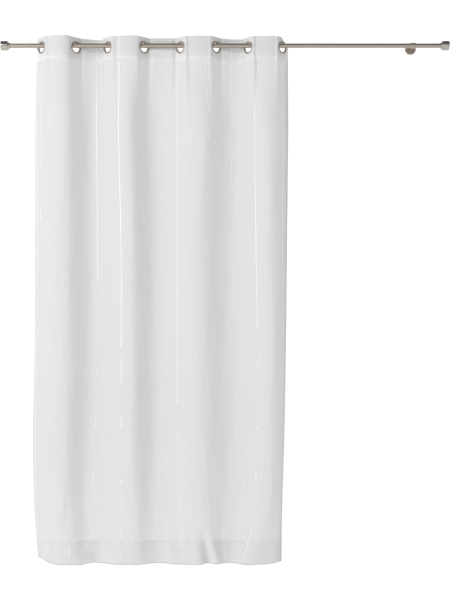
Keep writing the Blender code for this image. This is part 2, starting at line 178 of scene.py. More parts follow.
# Faint ripples between the main folds: waves across the cloth, how far they drift sideways on
# the way down in waves, where they start, and their height
Ripple = namedtuple("Ripple", "waves drift start height")
RIPPLES = (
    Ripple(17.0, 1.3, 0.15, 0.0007),
    Ripple(29.0, -1.7, 0.60, 0.0004),
    Ripple(43.0, 2.6, 0.35, 0.0002),
)
RIPPLE_GROWS_OVER = 0.5

# Corners of the hem that turn up: height at the very edge, and how far in the lift reaches
LIFT_BEGINS = 2.10
LEFT_LIFT = 0.032
LEFT_LIFT_REACH = 0.125
RIGHT_LIFT = 0.010
RIGHT_LIFT_REACH = 0.050

# Shiny threads woven in beside each other, at even places across the cloth. Each stripe is
# unbroken down to one drop, and then comes and goes in dashes
STRIPE_MARGIN = 0.038
STRIPE_SPACING = 0.1473
# The stiffened heading veils its stripes, so they are drawn narrower there
STRIPE_SHARE_IN_HEADING = 0.45
# The stripes are alike; their different widths are painted highlight and shade: stripes on folds that
# face the lamp are drawn wider, those in shaded back folds narrower
Stripe = namedtuple("Stripe", "unbroken_to width")
STRIPES = (
    Stripe(0.60, 0.0024),
    Stripe(1.30, 0.0024),
    Stripe(1.15, 0.0055),
    Stripe(1.43, 0.0055),
    Stripe(0.60, 0.0024),
    Stripe(1.69, 0.0055),
    Stripe(0.36, 0.0028),
    Stripe(0.70, 0.0026),
    Stripe(1.34, 0.0055),
    Stripe(1.20, 0.0028),
)
Dash = namedtuple("Dash", "stripe start end")
DASHES = (
    Dash(0, 0.775, 0.850),
    Dash(1, 2.310, 2.380),
    Dash(2, 1.500, 1.575),
    Dash(2, 1.725, 1.805),
    Dash(2, 1.990, 2.065),
    Dash(2, 2.330, 2.372),
    Dash(3, 1.455, 1.600),
    Dash(3, 1.725, 1.795),
    Dash(3, 2.015, 2.050),
    Dash(3, 2.235, 2.310),
    Dash(3, 2.338, 2.385),
    Dash(4, 0.850, 0.885),
    Dash(4, 1.100, 1.145),
    Dash(5, 1.800, 1.860),
    Dash(5, 2.100, 2.175),
    Dash(5, 2.260, 2.345),
    Dash(6, 0.420, 0.485),
    Dash(6, 0.530, 0.552),
    Dash(6, 0.710, 0.745),
    Dash(6, 0.925, 1.000),
    Dash(8, 1.475, 1.525),
    Dash(8, 1.770, 1.800),
    Dash(8, 1.980, 2.035),
    Dash(8, 2.215, 2.380),
)
# Stripes stop this far from the heading's edges
STRIPE_INSET = 0.001
# Section of a flat strand: its corners, as shares of half its width and half its thickness
STRAND_SECTION = ((-1.0, 0.0), (-0.5, -0.9), (0.5, -0.9), (1.0, 0.0), (0.5, 0.9), (-0.5, 0.9))
STRAND_HALF = 0.0006
# A strand tapers off over this length, down to this share of its section
STRAND_TAPER = 0.006
STRAND_TIP = 0.15

# Rows of stitches across the cloth: drop, and how far each thread lies from the middle layer
PANEL_STITCH_LIFT = 0.0006
SEAM_ROWS = (
    (HEADING_DEPTH - 0.0030, HEADING_HALF + 0.0001),
    (CLOTH_LENGTH - HEM_DEPTH + 0.0020, PANEL_STITCH_LIFT),
    (CLOTH_LENGTH - HEM_DEPTH + 0.0075, PANEL_STITCH_LIFT),
)
# The side hem's stitches lie this far inside its inner edge
SIDE_STITCH_INSET = 0.0015
STITCH_HALF = 0.0012
THREAD_RADIUS = 0.00035

# Rod, end caps and brackets
ROD_WALL = 0.001
CAP_OVERLAP = 0.015
CAP_COLLAR_LENGTH = 0.0075
CAP_COLLAR_RADIUS = 0.0135
CAP_RADIUS = 0.021
CAP_LENGTH = 0.040
BRACKET_LEFT = -0.761
BRACKET_RIGHT = 0.861
PLATE_RADIUS = 0.025
PLATE_THICKNESS = 0.006
ARM_RADIUS = 0.006
RING_WIDTH = 0.024
RING_RADIUS = 0.0125
SCREW_SHANK_RADIUS = 0.002
SCREW_HEAD_RADIUS = 0.0036
SCREW_HEAD_HEIGHT = 0.0032
SCREW_SOCKET_RADIUS = 0.0016
SCREW_SOCKET_DEPTH = 0.0018

# Rounding of each corner of a profile, as a share of the metal's edge radius
CAP_EDGES = (0.0, 2.2, 1.5, 0.5, 0.8, 0.3, 0.0, 0.0)
PLATE_EDGES = (0.0, 0.3, 1.5, 0.0)
RING_EDGES = (0.0, 0.7, 0.7, 0.0)

# Mesh fineness
CLOTH_COLUMN = 0.005
CLOTH_ROW = 0.012
HEADING_ROWS = 24
HEADING_BEND_ROWS = 9
STEPS_PER_FOLD = 64
ROUND_SIDES = 64
BEAD_STEPS = 12
ROD_QUARTER_STEPS = 91
FEWEST_STRAND_ROWS = 4
SMOOTH_ANGLE = math.radians(35)
# Points nearer to each other than this become one
WELD = 1e-6
# Columns and rows of the hems' turned layers, from the cloth's edge. The layers part over TURN
TURN = 0.002
SIDE_HEM_COLUMNS = (TURN, 0.008)
HEM_ROWS = (TURN, 0.010, 0.035, 0.070, HEM_DEPTH)
# Small step that finds the directions of the cloth
NEAR = 0.0005

# How the cloth takes light: the share of open gaps, the share of light that comes through the
# threads, and how much lighter than the voile it is
ClothLight = namedtuple("ClothLight", "openness glow whiteness")
PANEL_LIGHT = ClothLight(0.10, 0.34, 0.0)
HEADING_LIGHT = ClothLight(0.05, 0.22, 0.030)
GAP_TINT = "#f2f2f2"
# Where the cloth lies double, this share of the glow is left
DOUBLED_GLOW = 0.5

# Slubs, the thicker places in the yarn, across and down in metres. They are drawn coarser than
# real ones, so that they show
WARP_SLUB_SIZE = (0.0090, 0.220, 1.0)
WEFT_SLUB_SIZE = (0.070, 0.0045, 1.0)
WEFT_SLUB_SHARE = 0.35
SLUB_RANGE = (0.45, 0.90)
SLUB_CLOSES_GAPS = 0.1
WEAVE_RELIEF_SHARE = 0.4

# Filaments of the shiny thread, drawn coarser than real ones, so that they show
FILAMENT_SIZE = (0.0004, 0.0004, 1.0 / 60.0)
THREAD_GLOW = 0.08

# Nickel: size of the marks along X, Y and Z, and how smudges and marks change its shine
SATIN_ROUGHNESS = 0.46
SATIN_GRAIN = (0.030, 0.0008, 0.0008)
POLISHED_ROUGHNESS = 0.11
POLISHED_GRAIN = (0.004, 0.004, 0.004)
SMUDGE_SIZE = 0.05
SMUDGE_SHARE = 0.5
WORN_RANGE = (0.4, 1.1)
WEAR = 0.1
MARK_SHADE = 0.95

# Studio. The light of the surroundings changes with the part of its direction that points up,
# right or back: where each change starts and ends, and the level before and after it
Change = namedtuple("Change", "start end before after")
OVERHEAD_LIGHT = Change(0.30, 0.62, 1.1, 0.20)
LOSS_AT_RIGHT = Change(-0.5, 0.9, 0.0, 0.5)
LOSS_IN_FRONT = Change(0.6, 0.1, 0.0, 1.0)
FLOOR_REACH = 12.0
FLOOR_GLOW = 0.69
LAMP_PLACE = (-4.2, -3.4, 0.7)
LAMP_SIZE = 2.4
LAMP_AIM_LEFT = 0.25
LAMP_AIM_HEIGHT = -0.9
FILM_WIDTH = 36.0


def srgb(code):
    """The three parts of a hex sRGB colour, each as a share of one."""
    return tuple(int(code[place : place + 2], 16) / 255.0 for place in (1, 3, 5))


class CurtainCloth(bpy.types.PropertyGroup):
    """Sizes and colours of the cloth and its threads."""

    side_hem: FloatProperty(
        name="Side hem",
        description="Width of the cloth turned in along each side",
        default=0.018,
        unit="LENGTH",
    )
    layer_gap: FloatProperty(
        name="Layer gap",
        description="Distance between the layers of a turned hem",
        default=0.0009,
        unit="LENGTH",
    )
    dash_width: FloatProperty(
        name="Dash width",
        description="Width of the short dashes of shiny threads below the unbroken stripes",
        default=0.0042,
        unit="LENGTH",
    )
    stitch_length: FloatProperty(
        name="Stitch length",
        description="Length of one machine stitch with its gap",
        default=0.0034,
        unit="LENGTH",
    )
    side_hem_whiteness: FloatProperty(
        name="Side hem whiteness",
        description="How much lighter the turned sides look than the cloth between them",
        default=0.040,
    )
    hem_whiteness: FloatProperty(
        name="Hem whiteness",
        description="How much lighter the bottom hem looks than the cloth above",
        default=0.032,
    )
    seam_whiteness: FloatProperty(
        name="Seam whiteness",
        description="How much lighter the heading looks where its edge is turned in at the seam",
        default=0.006,
    )
    thread_spacing: FloatProperty(
        name="Thread spacing",
        description="Distance between threads of the weave, coarser than real so that they show",
        default=0.0011,
        unit="LENGTH",
    )
    voile_colour: FloatVectorProperty(
        name="Voile",
        description="Colour of the sheer cloth, as sRGB",
        subtype="COLOR_GAMMA",
        default=srgb("#e0e0e0"),
    )
    slub_colour: FloatVectorProperty(
        name="Slub",
        description="Colour of the thicker places in the yarn, as sRGB",
        subtype="COLOR_GAMMA",
        default=srgb("#dedede"),
    )


class CurtainMetal(bpy.types.PropertyGroup):
    """Edges and colours of the metal pieces."""

    edge_radius: FloatProperty(
        name="Edge radius",
        description="Rounding of the turned edges",
        default=0.0012,
        unit="LENGTH",
    )
    satin_colour: FloatVectorProperty(
        name="Satin nickel",
        description="Colour of the rod, eyelets and brackets, as sRGB",
        subtype="COLOR_GAMMA",
        default=srgb("#ada297"),
    )
    polished_colour: FloatVectorProperty(
        name="Polished nickel",
        description="Colour of the end caps, as sRGB",
        subtype="COLOR_GAMMA",
        default=srgb("#b0aba4"),
    )


class CurtainStudio(bpy.types.PropertyGroup):
    """Floor, lamp and camera."""

    floor_drop: FloatProperty(
        name="Floor below the hem",
        description="Distance from the hem down to the floor",
        default=0.18,
        unit="LENGTH",
    )
    key_power: FloatProperty(
        name="Key lamp",
        description="Power of the large soft lamp at the left",
        default=80.0,
        unit="POWER",
    )
    camera_distance: FloatProperty(
        name="Camera distance",
        description="Distance from the camera to the rod",
        default=4.25,
        unit="LENGTH",
    )
    camera_drop: FloatProperty(
        name="Camera below the rod",
        description="Height of the rod above the camera",
        default=1.164,
        unit="LENGTH",
    )
    lens: FloatProperty(
        name="Lens",
        description="Focal length in millimetres on a 36 mm film",
        default=55.7,
    )


def linear(colour):
    """An sRGB colour as linear values with full alpha."""
    parts = [part / 12.92 if part <= 0.04045 else ((part + 0.055) / 1.055) ** 2.4 for part in colour]
    return (*parts, 1.0)


def hex_colour(code):
    """A hex sRGB colour as linear values with full alpha."""
    return linear(srgb(code))


# Shape of the hung cloth


def soft_step(value, start, end):
    """Nought before start, one after end, and a soft rise between them."""
    share = np.clip((value - start) / (end - start), 0.0, 1.0)
    return share * share * (3.0 - 2.0 * share)


def flat_places(x, y, start, end):
    """Where each point of a plan line lies on the flat cloth between two known places."""
    run = np.concatenate(([0.0], np.cumsum(np.hypot(np.diff(x), np.diff(y)))))
    return start + (end - start) * run / run[-1]


def eyelet_flats():
    """Flat place of each eyelet's centre, from the left edge of the cloth."""
    return np.linspace(LEFT_MARGIN, CLOTH_WIDTH - RIGHT_MARGIN, len(EYELET_PLACES))


def heading_turns():
    """Which way the cloth runs at each eyelet, as an angle seen from above."""
    slopes = []
    for fold, start, end in zip(HEADING_FOLDS, EYELET_PLACES, EYELET_PLACES[1:]):
        slopes.append(fold.side * math.pi * fold.depth / ((end - start) * (1.0 - fold.fullness)))
    before = [-slopes[0]] + slopes
    after = slopes + [-slopes[-1]]
    return [math.atan((right - left) / 2.0) for left, right in zip(before, after)]


def heading_plan():
    """The heading seen from above: flat place, x and y of many points along its middle line."""
    flats = eyelet_flats()
    turns = heading_turns()
    share = np.linspace(0.0, 1.0, STEPS_PER_FOLD + 1)
    lines = []
    for number, fold in enumerate(HEADING_FOLDS):
        start, end = EYELET_PLACES[number : number + 2]
        wave = share - fold.fullness * np.sin(math.tau * share) / math.tau
        x = start + (end - start) * (wave + fold.lean * np.sin(math.pi * share) ** 2)
        y = fold.side * fold.depth * np.sin(math.pi * share)
        flat = flat_places(x, y, flats[number], flats[number + 1])
        lines.append(np.array((flat, x, y))[:, :STEPS_PER_FOLD])
    margins = []
    for number, margin in ((0, -LEFT_MARGIN), (-1, RIGHT_MARGIN)):
        run = np.linspace(0.0, margin, STEPS_PER_FOLD // 4 + 1)
        x = EYELET_PLACES[number] + run * math.cos(turns[number])
        margins.append(np.array((flats[number] + run, x, run * math.sin(turns[number]))))
    flat, x, y = np.concatenate([margins[0][:, :0:-1], *lines, margins[1]], axis=1)
    for eyelet_flat, place, turn in zip(flats, EYELET_PLACES, turns):
        run = flat - eyelet_flat
        free = soft_step(np.abs(run), FLAT_REACH, FREE_REACH)
        x = free * x + (1.0 - free) * (place + run * math.cos(turn))
        y = free * y + (1.0 - free) * run * math.sin(turn)
    return flat, x, y


def through(places, values, at):
    """A smooth value between the rows of a table, held level before the first row."""
    at = min(max(at, places[0]), places[-1])
    row = min(int(np.searchsorted(places, at, side="right")) - 1, len(places) - 2)
    slopes = np.gradient(values, places)
    step = places[row + 1] - places[row]
    share = (at - places[row]) / step
    rise = values[row + 1] - values[row]
    start = slopes[row] * step
    end = slopes[row + 1] * step
    bend = start + end - 2.0 * rise
    return values[row] + start * share + (3.0 * rise - 2.0 * start - end) * share**2 + bend * share**3


def body_plan(drop):
    """The hanging panel seen from above at one drop: flat place, x and y along its middle line."""
    columns = np.array(FOLD_LINES).T
    *lines, depth = [through(columns[0], column, drop) for column in columns[1:]]
    depths = [EDGE_BEHIND_ROD]
    depths += [depth / 2.0 * (-1) ** (number + 1) for number in range(len(lines) - 2)]
    depths += [EDGE_BEHIND_ROD]
    share = np.linspace(0.0, 1.0, STEPS_PER_FOLD + 1)
    wave = share + FOLD_FULLNESS * np.sin(math.tau * share) / math.tau
    flats, x_parts, y_parts = [], [], []
    last = len(lines) - 2
    for number in range(last + 1):
        if number == 0:
            along, rise = share, np.sin(math.pi * share / 2.0)
        elif number == last:
            along, rise = share, 1.0 - np.cos(math.pi * share / 2.0)
        else:
            along, rise = wave, (1.0 - np.cos(math.pi * share)) / 2.0
        begin = 0 if number == 0 else 1
        x = lines[number] + (lines[number + 1] - lines[number]) * along
        y = depths[number] + (depths[number + 1] - depths[number]) * rise
        flats.append(flat_places(x, y, FOLD_PLACES[number], FOLD_PLACES[number + 1])[begin:])
        x_parts.append(x[begin:])
        y_parts.append(y[begin:])
    return np.concatenate(flats), np.concatenate(x_parts), np.concatenate(y_parts)


def hanging_drop(turn):
    """How far an eyelet's centre hangs below the rod's axis when its bore rests on the rod."""
    bore = EYELET_BORE_RADIUS * math.cos(math.pi / EYELET_SIDES_IN_SOLID)
    around = np.linspace(0.0, math.pi / 2.0, ROD_QUARTER_STEPS)
    cant = math.pi / 2.0 - abs(turn)
    sideways = EYELET_HALF_DEPTH * math.tan(cant) + ROD_RADIUS * np.sin(around) / math.cos(cant)
    inside = sideways < bore
    height = np.sqrt(bore**2 - sideways[inside] ** 2) - ROD_RADIUS * np.cos(around[inside])
    return float(height.min()) - GAP


def eyelet_seats():
    """Centre and rotation of each eyelet, whose own Z then points to the front."""
    for along, turn in zip(EYELET_PLACES, heading_turns()):
        yield (along, 0.0, -hanging_drop(turn)), (math.pi / 2.0, 0.0, turn)


def hung_cloth(flats, drops):
    """Points of the hung cloth, one row for each drop and one column for each flat place. The
    flat places are the same for every drop, or have a row of their own for each."""
    top_plan = heading_plan()
    hanging = [hanging_drop(turn) for turn in heading_turns()]
    rows = []
    for flats, drop in zip(np.broadcast_to(flats, (len(drops), np.shape(flats)[-1])), drops):
        heading = [np.interp(flats, top_plan[0], part) for part in top_plan[1:]]
        hung = EYELET_BELOW_EDGE - np.interp(flats, eyelet_flats(), hanging)
        plan = body_plan(drop)
        body = [np.interp(flats, plan[0], part) for part in plan[1:]]
        share = soft_step(drop, HEADING_DEPTH, BODY_BEGINS)
        x, y = [(1.0 - share) * top + share * low for top, low in zip(heading, body)]
        for crease in CREASES:
            across = (x - crease.along - crease.lean * (drop - crease.drop)) / crease.half_width
            down = (drop - crease.drop) / crease.half_height
            y = y + crease.depth * np.exp(-(across**2) - down**2)
        for ripple in RIPPLES:
            turn = math.tau * (ripple.waves * flats / CLOTH_WIDTH + ripple.drift * drop)
            grown = soft_step(drop, ripple.start, ripple.start + RIPPLE_GROWS_OVER)
            y = y + ripple.height * grown * np.sin(turn)
        lift = LEFT_LIFT * np.clip(1.0 - flats / LEFT_LIFT_REACH, 0.0, 1.0) ** 2
        from_right = CLOTH_WIDTH - flats
        lift = lift + RIGHT_LIFT * np.clip(1.0 - from_right / RIGHT_LIFT_REACH, 0.0, 1.0) ** 2
        z = hung - drop + lift * soft_step(drop, LIFT_BEGINS, CLOTH_LENGTH) ** 2
        z = z - np.clip(CORNER_TURNED - from_right, 0.0, None) * max(0.0, 1.0 - drop / HEADING_DEPTH)
        rows.append(np.stack((x, y, z), axis=1))
    return np.array(rows)


def cloth_frame(flats, drops):
    """Points of the hung cloth with its directions across, down and out to the back."""
    points = hung_cloth(flats, drops)
    across = hung_cloth(flats + NEAR, drops) - hung_cloth(flats - NEAR, drops)
    down = hung_cloth(flats, drops + NEAR) - hung_cloth(flats, drops - NEAR)
    out = np.cross(across, down)
    return [points] + [way / np.linalg.norm(way, axis=2, keepdims=True) for way in (across, down, out)]


# Meshes and pieces


def finished(name, mesh, finish, slot, *nodes):
    """A piece in place of its CAD nodes, in one finish, that moves with the whole curtain."""
    piece = bpy.data.objects.new(name, mesh)
    bpy.context.scene.collection.objects.link(piece)
    piece.data.materials.clear()
    piece.data.materials.append(finish)
    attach(piece, "root")
    if nodes:
        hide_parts(*nodes)
    return piece


def smooth_mesh(shape, name):
    """Turn a bmesh into a mesh whose faces point out and whose soft edges look round."""
    bmesh.ops.recalc_face_normals(shape, faces=shape.faces)
    mesh = bpy.data.meshes.new(name)
    shape.to_mesh(mesh)
    shape.free()
    mesh.shade_smooth()
    mesh.set_sharp_from_angle(angle=SMOOTH_ANGLE)
    return mesh


def sheet_mesh(name, points, flats, drops):
    """A grid of points as one layer of cloth, with its flat place and drop in metres as its UVs."""
    rows, columns = points.shape[:2]
    corner = np.arange(rows * columns).reshape(rows, columns)
    faces = np.stack((corner[:-1, :-1], corner[1:, :-1], corner[1:, 1:], corner[:-1, 1:]), axis=2)
    mesh = bpy.data.meshes.new(name)
    mesh.from_pydata(points.reshape(-1, 3).tolist(), [], faces.reshape(-1, 4).tolist())
    across, down = np.meshgrid(flats, drops)
    laid = np.stack((across, down), axis=2).reshape(-1, 2)
    corners = np.empty(len(mesh.loops), dtype=np.int32)
    mesh.loops.foreach_get("vertex_index", corners)
    mesh.uv_layers.new(name="laid_flat").data.foreach_set("uv", laid[corners].ravel())
    mesh.shade_smooth()
    return mesh


def turned(name, profile, sides=ROUND_SIDES):
    """A solid turned about Z. The profile gives radius and height; one that doesn't start and
    end on the axis is closed into a ring."""
    shape = bmesh.new()
    points = [shape.verts.new((radius, 0.0, height)) for radius, height in profile]
    for first, second in zip(points, points[1:]):
        shape.edges.new((first, second))
    if profile[0][0] > 0.0:
        shape.edges.new((points[-1], points[0]))
    bmesh.ops.spin(
        shape,
        geom=shape.verts[:] + shape.edges[:],
        axis=(0.0, 0.0, 1.0),
        cent=(0.0, 0.0, 0.0),
        angle=math.tau,
        steps=sides,
        use_duplicate=False,
    )
    bmesh.ops.remove_doubles(shape, verts=shape.verts, dist=WELD)
    return smooth_mesh(shape, name)


def rounded(profile, radii, steps=5):
    """A profile with its corners rounded, each by its own radius."""
    points = []
    last = len(profile) - 1
    for number, (corner, radius) in enumerate(zip(profile, radii)):
        if radius == 0.0 or number in (0, last):
            points.append(corner)
            continue
        here = Vector(corner)
        before = (Vector(profile[number - 1]) - here).normalized()
        after = (Vector(profile[number + 1]) - here).normalized()
        half = before.angle(after) / 2.0
        reach = radius / math.tan(half)
        start, end = here + before * reach, here + after * reach
        for step in range(steps + 1):
            share = step / steps
            curve = start * (1.0 - share) ** 2 + here * 2.0 * share * (1.0 - share) + end * share**2
            points.append(tuple(curve))
    return points


def placed(mesh, place, turn=(0.0, 0.0, 0.0)):
    """Move a mesh to its place on the curtain, given from the middle of the rod."""
    mesh.transform(Matrix.Translation(ROD_MIDDLE + Vector(place)) @ Euler(turn).to_matrix().to_4x4())
    return mesh


def lay_thread(shape, flat, start, end, width, lift):
    """Add a flat strand of thread that runs down the cloth and tapers off at both ends."""
    count = max(FEWEST_STRAND_ROWS, round((end - start) / CLOTH_ROW))
    drops = np.linspace(start, end, count + 1)
    points, across, _, out = [part[:, 0] for part in cloth_frame(np.array([flat]), drops)]
    points = points + lift * out
    share = np.linspace(0.0, 1.0, count + 1)[:, None]
    from_end = np.minimum(share, 1.0 - share) * (end - start)
    taper = np.clip(from_end / STRAND_TAPER, STRAND_TIP, 1.0)
    rings = []
    for side, rise in STRAND_SECTION:
        edge = points + taper * (side * width / 2.0 * across + rise * STRAND_HALF * out)
        rings.append([shape.verts.new(point) for point in edge + np.array(ROD_MIDDLE)])
    for first, second in zip(rings, rings[1:] + rings[:1]):
        for row in range(count):
            shape.faces.new((first[row], first[row + 1], second[row + 1], second[row]))
    shape.faces.new([ring[0] for ring in rings])
    shape.faces.new([ring[-1] for ring in rings])


def sew_row(shape, flats, drops, lift):
    """Add one row of stitches along a line of the cloth, each a short grain of thread."""
    points, across, down, out = [part.reshape(-1, 3) for part in cloth_frame(flats, drops)]
    along, sideways = (across, down) if len(flats) > 1 else (down, across)
    for point, run, side, away in zip(points + np.array(ROD_MIDDLE), along, sideways, out):
        for face in (-1.0, 1.0):
            middle = point + face * lift * away
            ends = [shape.verts.new(middle + end * STITCH_HALF * run) for end in (-1.0, 1.0)]
            ways = (side, face * away, -side, -face * away)
            waist = [shape.verts.new(middle + THREAD_RADIUS * way) for way in ways]
            for first, second in zip(waist, waist[1:] + waist[:1]):
                shape.faces.new((ends[0], first, second))
                shape.faces.new((ends[1], second, first))


def apply_modifiers(piece):
    """Give a piece the mesh that its modifiers make, and take them off."""
    bpy.context.view_layer.update()
    solved = piece.evaluated_get(bpy.context.evaluated_depsgraph_get())
    mesh = bpy.data.meshes.new_from_object(solved)
    piece.modifiers.clear()
    piece.data = mesh


# Finishes


def add_node(tree, kind, inputs=None, **settings):
    """Add a node. Inputs are values, or outputs of other nodes to link, by socket name or number."""
    node = tree.nodes.new(kind)
    for name, value in settings.items():
        setattr(node, name, value)
    for socket, value in (inputs or {}).items():
        if isinstance(value, bpy.types.NodeSocket):
            tree.links.new(value, node.inputs[socket])
        else:
            node.inputs[socket].default_value = value
    return node


def maths(tree, operation, *values):
    """The outcome of one step of arithmetic."""
    inputs = dict(enumerate(values))
    return add_node(tree, "ShaderNodeMath", inputs, operation=operation).outputs["Value"]


def changing(tree, value, start, end, before, after, **settings):
    """Changes from one level to another while a value goes from start to end."""
    inputs = {"Value": value, "From Min": start, "From Max": end, "To Min": before, "To Max": after}
    return add_node(tree, "ShaderNodeMapRange", inputs, **settings).outputs["Result"]


def patches(tree, where, size, **inputs):
    """Random soft patches with the given size in metres."""
    scale = tuple(1.0 / part for part in size)
    stretched = add_node(tree, "ShaderNodeMapping", {"Vector": where, "Scale": scale})
    inputs = {"Vector": stretched.outputs["Vector"], "Scale": 1.0, **inputs}
    return add_node(tree, "ShaderNodeTexNoise", inputs).outputs["Fac"]


def blend(tree, share, first, second):
    """Goes from the first colour to the second as the share grows."""
    inputs = {"Factor": share, 6: first, 7: second}
    return add_node(tree, "ShaderNodeMix", inputs, data_type="RGBA").outputs["Result"]


def mixed(tree, share, first, second):
    """A surface of two kinds, with a share of the second."""
    return add_node(tree, "ShaderNodeMixShader", {"Fac": share, 1: first, 2: second}).outputs["Shader"]


def relief(tree, height, depth, strength):
    """Small bumps, as deep as given in metres."""
    inputs = {"Height": height, "Distance": depth, "Strength": strength}
    return add_node(tree, "ShaderNodeBump", inputs).outputs["Normal"]


def lighter(colour, amount):
    """An sRGB colour made lighter by an equal amount in each part."""
    return [part + amount for part in colour]


def empty_finish(name):
    """A new material and its node tree with nothing in it but the output."""
    finish = bpy.data.materials.new(name)
    finish.use_nodes = True
    tree = finish.node_tree
    tree.nodes.clear()
    return finish, tree, add_node(tree, "ShaderNodeOutputMaterial")


def woven_voile(name, light, hem_line, hem_whiteness):
    """Polyester voile in plain weave: fine dull threads with open gaps, which let some light
    through and show a soft linen-like slub. Below the hem line and along the sides the cloth is
    turned in, and looks whiter and denser."""
    cloth = bpy.context.scene.curtain_cloth
    finish, tree, output = empty_finish(name)
    laid = add_node(tree, "ShaderNodeUVMap", uv_map="laid_flat").outputs["UV"]
    place = add_node(tree, "ShaderNodeSeparateXYZ", {"Vector": laid}).outputs

    # Hems: one where the cloth lies double, nought elsewhere
    middle = CLOTH_WIDTH / 2.0
    from_middle = maths(tree, "ABSOLUTE", maths(tree, "SUBTRACT", place["X"], middle))
    in_side_hem = maths(tree, "GREATER_THAN", from_middle, middle - cloth.side_hem)
    in_hem = maths(tree, "GREATER_THAN", place["Y"], hem_line)
    doubled = maths(tree, "MAXIMUM", in_side_hem, in_hem)

    # Slubs down the cloth and across it, and the share of full yarn that they make
    warp_slub = patches(tree, laid, WARP_SLUB_SIZE, Detail=2.0, Roughness=0.6)
    weft_slub = patches(tree, laid, WEFT_SLUB_SIZE, Detail=2.0, Roughness=0.6)
    slub = maths(tree, "MULTIPLY_ADD", weft_slub, WEFT_SLUB_SHARE, warp_slub)
    even_slub = changing(tree, slub, *SLUB_RANGE, 0.0, 1.0)

    # Threads of the plain weave, over and under each other
    per_metre = math.tau / (2.0 * cloth.thread_spacing)
    threads = [maths(tree, "SINE", maths(tree, "MULTIPLY", place[axis], per_metre)) for axis in "XY"]
    over_under = maths(tree, "MULTIPLY", *threads)
    height = maths(tree, "MULTIPLY_ADD", over_under, WEAVE_RELIEF_SHARE, slub)
    normal = relief(tree, height, depth=0.0003, strength=0.35)

    slub_colour = linear(lighter(cloth.slub_colour, light.whiteness))
    voile_colour = lighter(cloth.voile_colour, light.whiteness)
    single = blend(tree, even_slub, slub_colour, linear(voile_colour))
    hem_colour = linear(lighter(voile_colour, hem_whiteness))
    side_colour = linear(lighter(voile_colour, cloth.side_hem_whiteness))
    between_sides = blend(tree, in_hem, single, hem_colour)
    colour = blend(tree, in_side_hem, between_sides, side_colour)

    threads_lit = add_node(
        tree,
        "ShaderNodeBsdfPrincipled",
        {
            "Base Color": colour,
            "Roughness": 0.75,
            "Sheen Weight": 0.15,
            "Sheen Roughness": 0.4,
            "Specular IOR Level": 0.3,
            "Normal": normal,
        },
    )
    lit_through = add_node(tree, "ShaderNodeBsdfTranslucent", {"Color": colour, "Normal": normal})
    glow = changing(tree, doubled, 0.0, 1.0, light.glow, DOUBLED_GLOW * light.glow)
    yarn = mixed(tree, glow, threads_lit.outputs["BSDF"], lit_through.outputs["BSDF"])
    gaps = add_node(tree, "ShaderNodeBsdfTransparent", {"Color": hex_colour(GAP_TINT)})
    in_thin_places = 1.0 - light.openness * (1.0 + SLUB_CLOSES_GAPS)
    in_slubs = 1.0 - light.openness * (1.0 - SLUB_CLOSES_GAPS)
    share_of_yarn = changing(tree, even_slub, 0.0, 1.0, in_thin_places, in_slubs)
    surface = mixed(tree, share_of_yarn, gaps.outputs["BSDF"], yarn)
    tree.links.new(surface, output.inputs["Surface"])
    return finish


def trilobal_thread(name, colour, between):
    """Bright trilobal polyester thread: smooth filaments, so it shines against the dull cloth."""
    finish, tree, output = empty_finish(name)
    spot = add_node(tree, "ShaderNodeTexCoord").outputs["Object"]
    filaments = patches(tree, spot, FILAMENT_SIZE, Detail=1.0)
    lit = add_node(
        tree,
        "ShaderNodeBsdfPrincipled",
        {
            "Base Color": blend(tree, filaments, between, colour),
            "Roughness": 0.38,
            "Sheen Weight": 0.3,
            "Normal": relief(tree, filaments, depth=0.0002, strength=0.4),
        },
    )
    lit_through = add_node(tree, "ShaderNodeBsdfTranslucent", {"Color": colour})
    thread = mixed(tree, THREAD_GLOW, lit.outputs["BSDF"], lit_through.outputs["BSDF"])
    tree.links.new(thread, output.inputs["Surface"])
    return finish


def plated_nickel(name, colour, roughness, grain):
    """Nickel plate over steel: a warm grey mirror when polished, and soft streaks once it is
    brushed. grain gives the size of the brush marks in metres along X, Y and Z."""
    finish, tree, output = empty_finish(name)
    spot = add_node(tree, "ShaderNodeTexCoord").outputs["Object"]
    marks = patches(tree, spot, grain, Detail=3.0, Roughness=0.7)
    smudge = {"Vector": spot, "Scale": 1.0 / SMUDGE_SIZE, "Detail": 1.0}
    smudges = add_node(tree, "ShaderNodeTexNoise", smudge).outputs["Fac"]
    worn = maths(tree, "MULTIPLY_ADD", smudges, SMUDGE_SHARE, marks)
    smoother, duller = roughness * (1.0 - WEAR), roughness * (1.0 + WEAR)
    darker = (*[part * MARK_SHADE for part in colour[:3]], 1.0)
    metal = add_node(
        tree,
        "ShaderNodeBsdfPrincipled",
        {
            "Base Color": blend(tree, marks, darker, colour),
            "Metallic": 1.0,
            "Roughness": changing(tree, worn, *WORN_RANGE, smoother, duller),
            "Normal": relief(tree, marks, depth=0.00001, strength=0.10),
        },
    )
    tree.links.new(metal.outputs["BSDF"], output.inputs["Surface"])
    return finish


def satin_nickel():
    """The brushed nickel that the rod, eyelets and brackets share, made once."""
    name = "satin_nickel_brushed"
    colour = linear(bpy.context.scene.curtain_metal.satin_colour)
    return bpy.data.materials.get(name) or plated_nickel(name, colour, SATIN_ROUGHNESS, SATIN_GRAIN)


def add_lamp(name, place, aim, size, power):
    """A large square lamp that faces a point."""
    lamp_data = bpy.data.lights.new(name, "AREA")
    lamp_data.shape = "SQUARE"
    lamp_data.size = size
    lamp_data.energy = power
    lamp = bpy.data.objects.new(name, lamp_data)
    bpy.context.scene.collection.objects.link(lamp)
    lamp.location = place
    lamp.rotation_euler = (aim - Vector(place)).to_track_quat("-Z", "Y").to_euler()


# Steps that make the curtain


